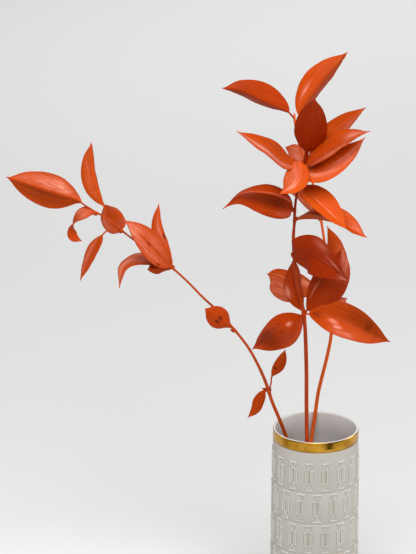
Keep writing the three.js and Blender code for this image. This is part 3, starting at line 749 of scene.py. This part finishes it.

# %% [markdown]
# ## Dyed stem and leaf
# Preserved ruscus has drunk glycerine and dye. The dye sits in the waxy skin, deeper red where the
# leaf is thick or old and bright orange where it is thin. Each leaf's `tone` mixes the two, partly
# for the dye and partly as painted shade and light for how its face is lit. The wax gives a satin
# gloss in streaks along the veins. Each leaf also carries its `mark`: above 0 it paints a pale pink
# highlight along the streaks, and below 0 painted shade, partly deeper dye. Its own random number
# moves the streaks, so that no two leaves are alike.

# %% Dyed leaf
LEAF, tree, shader = new_material("ruscus leaf, preserved in glycerine and dyed")
flat_map = add(tree, "ShaderNodeUVMap", uv_map="UVMap")
tone = add(tree, "ShaderNodeAttribute", attribute_name="tone").outputs["Fac"]
leaf_number = add(tree, "ShaderNodeAttribute", attribute_name="leaf").outputs["Fac"]
shift = add(tree, "ShaderNodeCombineXYZ", (leaf_number, leaf_number))
own_map = add(tree, "ShaderNodeVectorMath", (flat_map, shift), operation="ADD")
# tone mixes deep red and bright orange: partly the dye, partly painted shade and light
dyed = add(tree, "ShaderNodeMix", {
    "Factor": tone, "A": linear("8E2502"), "B": linear("C64B0D")}, data_type="RGBA")

# painted shade where the mark is below 0, partly deeper dye, and where the skin is scarred
mark = add(tree, "ShaderNodeAttribute", attribute_name="mark").outputs["Fac"]
painted_shade_and_dye = add(tree, "ShaderNodeMapRange", (mark, 0, -1, 1, 0.42))
scar = add(tree, "ShaderNodeMapRange", (mark, -1.2, -2.2, 0, 1))

# wax: streaks 1.2 mm wide and 13 mm long, glossiest where the mark paints a pale pink highlight
stretch = add(tree, "ShaderNodeMapping", {"Vector": own_map, "Scale": (34, 3.2, 1)})
streak = add(tree, "ShaderNodeTexNoise", {"Vector": stretch, "Scale": 2.4, "Detail": 4})
wax = add(tree, "ShaderNodeMapRange", (streak, 0.42, 0.66))
wax_there = add(tree, "ShaderNodeMapRange", (mark, 0, 1, 0.04, 0.7))
coat = add(tree, "ShaderNodeMath", (wax, wax_there), operation="MULTIPLY")
pale = add(tree, "ShaderNodeMapRange", (mark, 0, 1, 0, 0.8))
thin = add(tree, "ShaderNodeMapRange", (streak, 0.42, 0.62, 0.3, 1))
painted_sheen = add(tree, "ShaderNodeMath", (pale, thin), operation="MULTIPLY")
with_painted_sheen = add(tree, "ShaderNodeMix", {"Factor": painted_sheen, "A": dyed, "B": linear("F6A088")},
            data_type="RGBA")
gloss = add(tree, "ShaderNodeMapRange", (streak, 0.3, 0.7, 0.55, 0.38))

# fine veins, 1.4 mm apart, darker than the skin between them
veins_at = add(tree, "ShaderNodeMapping", {"Vector": own_map, "Scale": (52, 0.9, 1)})
veins = add(tree, "ShaderNodeTexNoise", {"Vector": veins_at, "Scale": 1.4, "Detail": 3})
dark = add(tree, "ShaderNodeMapRange", (veins, 0.3, 0.7, 0.84, 1.08))
# the mark's painted shade darkens the colour along with the veins
shade = add(tree, "ShaderNodeMath", (dark, painted_shade_and_dye), operation="MULTIPLY")
lined = add(tree, "ShaderNodeVectorMath", {"Vector": with_painted_sheen, "Scale": shade}, operation="SCALE")
scarred = add(tree, "ShaderNodeMix", {"Factor": scar, "A": lined, "B": linear("3A140A")},
              data_type="RGBA")
skin = add(tree, "ShaderNodeBump", {"Strength": 0.3, "Distance": 0.0003, "Height": veins})
feed(shader, {"Base Color": scarred, "Roughness": gloss, "Normal": skin, "Coat Weight": coat,
              "Coat Roughness": 0.3, "Specular IOR Level": 0.05})

# fibres 1.1 mm wide and 17 mm long, coarser than real ones, so that they show
STALK, tree, shader = new_material("ruscus stem, preserved in glycerine and dyed")
where = add(tree, "ShaderNodeTexCoord").outputs["Object"]
fibre_at = add(tree, "ShaderNodeMapping", {"Vector": where, "Scale": (900, 900, 60)})
fibre = add(tree, "ShaderNodeTexNoise", {"Vector": fibre_at, "Scale": 1, "Detail": 3})
tone = add(tree, "ShaderNodeAttribute", attribute_name="tone").outputs["Fac"]
dyed = add(tree, "ShaderNodeMix", {
    "Factor": tone, "A": linear("8E2400"), "B": linear("EA6420")}, data_type="RGBA")
grooved = add(tree, "ShaderNodeMapRange", (fibre, 0.3, 0.7, 0.75, 1.1))
bark = add(tree, "ShaderNodeVectorMath", {"Vector": dyed, "Scale": grooved}, operation="SCALE")
ribbed = add(tree, "ShaderNodeBump", {"Strength": 0.4, "Distance": 0.0003, "Height": fibre})
feed(shader, {"Base Color": bark, "Normal": ribbed, "Roughness": 0.5,
              "Specular IOR Level": 0.1})
print("materials", LEAF.name, "and", STALK.name)

# %% [markdown]
# ## Stem tree
# A stem is a line with a thickness that changes along it. The line is a chain of points that carry
# their radius, and the node tree draws a ribbed outline along it, which is what a curve with a
# profile does best. The ribs are the ridges that a green stem dries into.

# %% Stem tree
tree, given = new_tree("ribbed stem", {
    "Ribs": "Int", "Rib depth": "Float", "Material": "Material"})
stem_tree = tree
chain = add(tree, "GeometryNodeMeshToCurve", [given["Geometry"]])
thickness = add(tree, "GeometryNodeInputNamedAttribute", {"Name": "radius"})
inner = add(tree, "ShaderNodeMath", (1, given["Rib depth"]), operation="SUBTRACT")
section = add(tree, "GeometryNodeCurveStar", {
    "Points": given["Ribs"], "Inner Radius": inner, "Outer Radius": 1})
tube = add(tree, "GeometryNodeCurveToMesh", {
    "Curve": chain, "Profile Curve": section, "Scale": thickness, "Fill Caps": True})
end_tree(tree, tube, {"": given["Material"]})

# %% Stalks
POINT_GAP = 2.5
JOINT_SWELL, JOINT_REACH = 0.27, 3.0  # how much thicker a joint is, and how far that reaches
ABOVE_SHEATH = 0.9  # share of the thickness that is left above the old sheath


def grow_stem(name):
    plan = STEMS[name]
    at, _, length = smooth_line([(*plan["foot"], STEM_FOOT)] + [stop[1:] for stop in plan["route"]])
    shares = np.linspace(0, 1, int(length / POINT_GAP))
    centres = at(shares)
    radii = (plan["thick"] + (plan["thin"] - plan["thick"]) * shares) / 2
    for joint, *place in plan["route"]:
        if joint:
            away = np.linalg.norm(centres - np.array(place), axis=1)
            radii *= 1 + JOINT_SWELL * np.exp(-(away / JOINT_REACH) ** 2)
    radii *= np.where(centres[:, 2] < plan["sheath"], 1.0, ABOVE_SHEATH)
    tones = np.interp(shares, *zip(*plan["tones"]))
    links = [(i, i + 1) for i in range(len(centres) - 1)]
    carrier = mesh_object(name, centres * MM, [], links)
    for key, values in (("radius", radii * MM), ("tone", tones)):
        carrier.data.attributes.new(key, "FLOAT", "POINT").data.foreach_set("value", values)
    grown = grow(carrier, stem_tree, name + "_stalk", {
        "Ribs": 9, "Rib depth": 0.07, "Material": STALK})
    grown.data.shade_smooth()
    return grown


stalks = {name: grow_stem(name) for name in STEMS}
print("stalk faces", {name: len(made.data.polygons) for name, made in stalks.items()})

# %% [markdown]
# ## Blades
# Each blade is a sheet laid along its midrib: a row of points across it at every station, turned
# away from the front by the leaf's own angles, then given two faces that meet in a thin margin. The
# outline is a power of a sine, wide near the middle and drawn out at the tip.

# %% Outline and turn of a blade
DRAWN_OUT = 0.6
TIP_FROM = 0.75


def between(values, s):
    """Reads angles given near the stalk, in the middle and at the tip, eased at the middle."""
    eased = [np.interp(np.clip(s + step, 0, 1), (0, 0.5, 1), np.broadcast_to(values, 3))
             for step in (-0.1, -0.05, 0, 0.05, 0.1)]
    return np.mean(eased, axis=0)


def blade_width(s, widest, slim, full):
    swell = np.maximum(np.sin(math.pi * s ** (math.log(0.5) / math.log(widest))), 0)
    base = np.where(s < widest, slim + (full - slim) * s / widest, full)
    point = DRAWN_OUT * np.maximum((s - TIP_FROM) / (1 - TIP_FROM), 0) ** 2
    return swell ** (base + point)


print("width at each tenth", blade_width(np.linspace(0, 1, 11), 0.42, 0.9, 0.9).round(2))

# %% Blade
BLADE = 0.7  # thickness in mm, and the same of the margin and of the midrib at the stalk
MARGIN = 0.36
MIDRIB = 1.5
MIDRIB_REACH = 0.9
MIDRIB_TAPER, STALK_TAPER = 0.85, 0.7  # share of each that is gone at the tip
STRIP_WIDTH, STRIPS = 0.9, (3, 20)  # mm, and the fewest and most in a half blade
STATION_GAP, STATIONS = 1.7, (8, 52)
FLAT_BELOW = 4  # half width in mm under which a blade opens less
FULL_WAVES_FROM = 8  # half width in mm from which veins and waves have their full height
HINGE = 0.1  # share of a half blade over which its turn comes in
ARCH = 12  # degrees that a half blade turns further from its midrib to its margin
FOLD_WIDTH, FOLD_AMOUNT = 0.08, 0.6
FOLD_HIGHLIGHT, FOLD_HIGHLIGHT_WIDTH = 0.06, 0.03  # a painted highlight line past the crease, as shares of the way out
LEAF_STEP = 1.37  # moves each leaf's streaks and waves on from the last one's
NUDGE = 1e-3  # share of the length over which the midrib's direction is measured


def blade(name, plan, number):
    """Makes the points, faces and point data of one leaf."""
    stops = {stop[0]: stop[1:] for stop in STEMS[name]["route"] if stop[0]}
    _, rib_at, length = smooth_line([stops[plan["joint"]]] + plan["rib"])
    halves, curls, slims = (np.broadcast_to(plan[key], 2) for key in ("half", "curl", "slim"))
    neck, crease = plan["neck"], plan["crease"]
    strips = int(np.clip(round(max(halves) / STRIP_WIDTH), *STRIPS))
    stations = int(np.clip(length / STATION_GAP, *STATIONS))
    t = np.linspace(0, 1, stations + 1)
    s = np.maximum((t - neck) / (1 - neck), 0)
    ribs = rib_at(t)
    along = unit(rib_at(np.minimum(t + NUDGE, 1)) - rib_at(np.maximum(t - NUDGE, 0)))
    rightward = unit(np.cross(along, plan["front"]))
    away = unit(np.cross(along, rightward))
    right, left = between(plan["right"], s), between(plan["left"], s)
    roll, fold = (right - left) / 2, (right + left) / 2

    # the sheet, from the midrib out on either side
    columns = 2 * strips + 1
    sheet = np.zeros((stations + 1, columns, 3))
    wide = np.zeros((stations + 1, columns))
    sheet[:, strips] = ribs
    for side, half, curl, slim in zip((-1, 1), halves, curls, slims):
        width = half * blade_width(s, plan["widest"], slim, plan["full"])
        width = width + (plan["stalk"] / 2) * (1 - STALK_TAPER * s)
        share = np.minimum(width / FLAT_BELOW, 1)
        edge = ribs.copy()
        for j in range(1, strips + 1):
            q = (j - 0.5) / strips
            rolled = q ** 2 if crease is None else (
                FOLD_AMOUNT * np.clip((q - crease) / FOLD_WIDTH, 0, 1))
            opened = fold * min(q / HINGE, 1) + curl * rolled + ARCH * (q - 0.5)
            angle = np.radians(side * roll + share * opened)
            edge = edge + (side * np.cos(angle) * width / strips)[:, None] * rightward
            edge = edge + (np.sin(angle) * width / strips)[:, None] * away
            sheet[:, strips + side * j] = edge
            wide[:, strips + side * j] = width
    wide[:, strips] = wide[:, strips + 1]

    # its thickness, thin at the margin and thick along the midrib
    across = np.broadcast_to(np.linspace(-1, 1, columns), wide.shape)
    normal = unit(np.cross(np.gradient(sheet, axis=1), np.gradient(sheet, axis=0)))
    thick = BLADE + (MARGIN - BLADE) * np.abs(across) ** 3
    ridge = (MIDRIB - BLADE) * (1 - MIDRIB_TAPER * t)[:, None]
    thick = thick + ridge * np.exp(-(across * wide / MIDRIB_REACH) ** 2)
    points = np.concatenate([(sheet + side * normal * thick[..., None] / 2).reshape(-1, 3)
                             for side in (1, -1)])

    # two faces, joined all round
    back = (stations + 1) * columns
    faces = []
    for i in range(stations):
        for a in range(i * columns, (i + 1) * columns - 1):
            faces.append((a, a + 1, a + 1 + columns, a + columns))
            faces.append((back + a, back + a + columns, back + a + 1 + columns, back + a + 1))
        a, b = i * columns, (i + 1) * columns - 1
        faces.append((a, a + columns, back + a + columns, back + a))
        faces.append((b, back + b, back + b + columns, b + columns))
    for j in range(columns - 1):
        a = stations * columns + j
        faces.append((j, back + j, back + j + 1, j + 1))
        faces.append((a, a + 1, back + a + 1, back + a))

    # what the veins and the colours read; the marks paint highlights above 0 and shade below 0
    mark = np.zeros(across.shape)
    for x, y, reach_x, reach_y, amount in plan["marks"]:
        mark += amount * np.exp(-((across - x) / reach_x) ** 2 - ((t[:, None] - y) / reach_y) ** 2)
    # past a crease the marks give way to a trace of painted shade, with a painted highlight line
    # along the fold
    if crease is not None:
        mark[across > crease + FOLD_HIGHLIGHT] = -0.1
        mark[np.abs(across - crease - FOLD_HIGHLIGHT) < FOLD_HIGHLIGHT_WIDTH] = 0.25
    data = dict(across=across, out=across * wide, mark=mark,
                along=np.broadcast_to((t * length)[:, None], wide.shape),
                breadth=np.minimum(wide / FULL_WAVES_FROM, 1))
    data = {key: np.tile(values.ravel(), 2) for key, values in data.items()}
    data["face"] = np.repeat([1.0, -1.0], back)
    data["tone"] = np.full(2 * back, float(plan["tone"]))
    data["leaf"] = np.full(2 * back, number * LEAF_STEP)
    data["sheet"] = np.tile(normal.reshape(-1, 3), (2, 1))
    return points, faces, data


trial = blade("centre", LEAVES["centre"][0], 0)
print("first blade:", len(trial[0]), "points,", len(trial[1]), "faces")

# %% [markdown]
# ## Veins and waves
# Fine ribs run from the stalk to the tip of every blade, and the margin has dried in slight waves.
# Both repeat over all the leaves, so a node tree raises them: it reads how far across and along
# each point lies, and moves it out from the sheet. The named inputs are real sizes.

# %% Vein tree
numbers = ("Veins in half", "Vein height", "Wave height", "Wave length", "Ripple height",
           "Ripple length", "Seed")
tree, given = new_tree("veins and waves of a blade", {
    **{name: "Float" for name in numbers}, "Material": "Material"})
vein_tree = tree
read = {name: add(tree, "GeometryNodeInputNamedAttribute", {"Name": name})
        for name in ("across", "along", "out", "face", "leaf", "breadth")}
out_of_sheet = add(tree, "GeometryNodeInputNamedAttribute", {"Name": "sheet"},
                   data_type="FLOAT_VECTOR")
seed = add(tree, "ShaderNodeMath", (read["leaf"], given["Seed"]), operation="ADD")

# ribs: a cosine across the half blade, on both faces
turns = add(tree, "ShaderNodeMath", (given["Veins in half"], 2 * math.pi), operation="MULTIPLY")
phase = add(tree, "ShaderNodeMath", (read["across"], turns), operation="MULTIPLY")
crest = add(tree, "ShaderNodeMath", [phase], operation="COSINE")
raised = add(tree, "ShaderNodeMath", (crest, given["Vein height"]), operation="MULTIPLY")
ribs = add(tree, "ShaderNodeMath", (raised, read["face"]), operation="MULTIPLY")

# waves of the margin: noise along the blade, growing with the square of the way across
wave_number = add(tree, "ShaderNodeMath", (1, given["Wave length"]), operation="DIVIDE")
half_blade = add(tree, "ShaderNodeMath", [read["across"]], operation="SIGN")
wave_at = add(tree, "ShaderNodeCombineXYZ", (read["along"], half_blade, seed))
wave_size = add(tree, "ShaderNodeCombineXYZ", (wave_number, 1, 1))
wave_scaled = add(tree, "ShaderNodeVectorMath", (wave_at, wave_size), operation="MULTIPLY")
wave_noise = add(tree, "ShaderNodeTexNoise", {"Vector": wave_scaled, "Scale": 1, "Detail": 1})
wave_swing = add(tree, "ShaderNodeMath", (wave_noise, 0.5), operation="SUBTRACT")
at_rim = add(tree, "ShaderNodeMath", (read["across"], read["across"]), operation="MULTIPLY")
wave = add(tree, "ShaderNodeMath", (wave_swing, at_rim), operation="MULTIPLY")
ribs_and_wave = add(tree, "ShaderNodeMath", (wave, given["Wave height"], ribs),
                    operation="MULTIPLY_ADD")

# ripples all over the blade, longer along it than across
ripple_number = add(tree, "ShaderNodeMath", (0.6, given["Ripple length"]), operation="DIVIDE")
ripple_at = add(tree, "ShaderNodeCombineXYZ", (read["along"], read["out"]))
ripple_scaled = add(tree, "ShaderNodeVectorMath", {"Vector": ripple_at, "Scale": ripple_number},
                    operation="SCALE")
seed_shift = add(tree, "ShaderNodeCombineXYZ", {"Z": seed})
ripple_own = add(tree, "ShaderNodeVectorMath", (ripple_scaled, seed_shift), operation="ADD")
ripple_long = add(tree, "ShaderNodeVectorMath", (ripple_own, (1, 1.6, 1)), operation="MULTIPLY")
ripple_noise = add(tree, "ShaderNodeTexNoise", {"Vector": ripple_long, "Scale": 1})
ripple = add(tree, "ShaderNodeMath", (ripple_noise, 0.5), operation="SUBTRACT")
lift = add(tree, "ShaderNodeMath", (ripple, given["Ripple height"], ribs_and_wave),
           operation="MULTIPLY_ADD")

# everything flattens out where the blade is narrow
eased = add(tree, "ShaderNodeMath", (lift, read["breadth"]), operation="MULTIPLY")
offset = add(tree, "ShaderNodeVectorMath", {"Vector": out_of_sheet, "Scale": eased},
             operation="SCALE")
moved = add(tree, "GeometryNodeSetPosition", {"Geometry": given["Geometry"], "Offset": offset})
end_tree(tree, moved, {"": given["Material"]})

# %% [markdown]
# ## Leafy stems
# Every blade of a stem goes into one mesh with its data, the vein tree raises its ribs, and the
# stalk is joined to it, because a leafy stem is one grown thing. A true leaf of ruscus is no more
# than a small dry scale where a twig leaves the stem, so each joint gets one as well.

# %% Leafy stems
MAP_SIZE = 100  # mm of leaf on one unit of its flat map


def bract(name, joint, side):
    """Gives the plan of the small dry scale that clasps a stem below a joint."""
    route = [np.array(stop[1:], float) for stop in STEMS[name]["route"]]
    k = [stop[0] for stop in STEMS[name]["route"]].index(joint)
    along = unit(route[min(k + 1, len(route) - 1)] - route[max(k - 1, 0)])
    out = side * unit(np.cross(along, FRONT)) - 0.5 * np.array([0, 1, 0])
    rib = [tuple(route[k] + 1.6 * out + 1.8 * along), tuple(route[k] + 2.6 * out + 4.6 * along)]
    return leaf(joint, 1.3, rib, (30, 30, 20), (30, 30, 20), 0.3, neck=0.02, widest=0.3)


def leafy_stem(name):
    joints = [stop[0] for stop in STEMS[name]["route"] if stop[0] not in ("", "tip")]
    plans = LEAVES[name] + [bract(name, joint, (-1) ** n) for n, joint in enumerate(joints)]
    points, faces, data, total = [], [], {}, 0
    for number, plan in enumerate(plans, len(name)):
        leaf_points, leaf_faces, leaf_data = blade(name, plan, number)
        faces += [tuple(total + c for c in face) for face in leaf_faces]
        points.append(leaf_points)
        total += len(leaf_points)
        for key, values in leaf_data.items():
            data.setdefault(key, []).append(values)
    data = {key: np.concatenate(values) for key, values in data.items()}
    carrier = mesh_object(name, np.concatenate(points) * MM, faces)
    mesh = carrier.data
    corners = np.zeros(len(mesh.loops), int)
    mesh.loops.foreach_get("vertex_index", corners)
    flat = np.stack([0.5 + data["out"] / MAP_SIZE, data["along"] / MAP_SIZE], 1)
    mesh.uv_layers.new(name="UVMap").data.foreach_set("uv", flat[corners].ravel())
    mesh.attributes.new("sheet", "FLOAT_VECTOR", "POINT").data.foreach_set(
        "vector", data.pop("sheet").ravel())
    for key, values in data.items():
        scale = MM if key in ("along", "out") else 1
        mesh.attributes.new(key, "FLOAT", "POINT").data.foreach_set("value", values * scale)
    leaves = grow(carrier, vein_tree, name + "_ruscus", {
        "Veins in half": 7.0, "Vein height": 0.12 * MM, "Wave height": 2.2 * MM,
        "Wave length": 17 * MM, "Ripple height": 0.8 * MM, "Ripple length": 6 * MM,
        "Seed": 4.0, "Material": LEAF})
    leaves.data.shade_smooth()
    with bpy.context.temp_override(active_object=leaves, object=leaves,
                                   selected_editable_objects=[stalks[name], leaves]):
        bpy.ops.object.join()
    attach(leaves, "root")
    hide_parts(name + "_stem")
    return leaves


for name in STEMS:
    piece = leafy_stem(name)
    print(piece.name, len(piece.data.polygons), "faces")
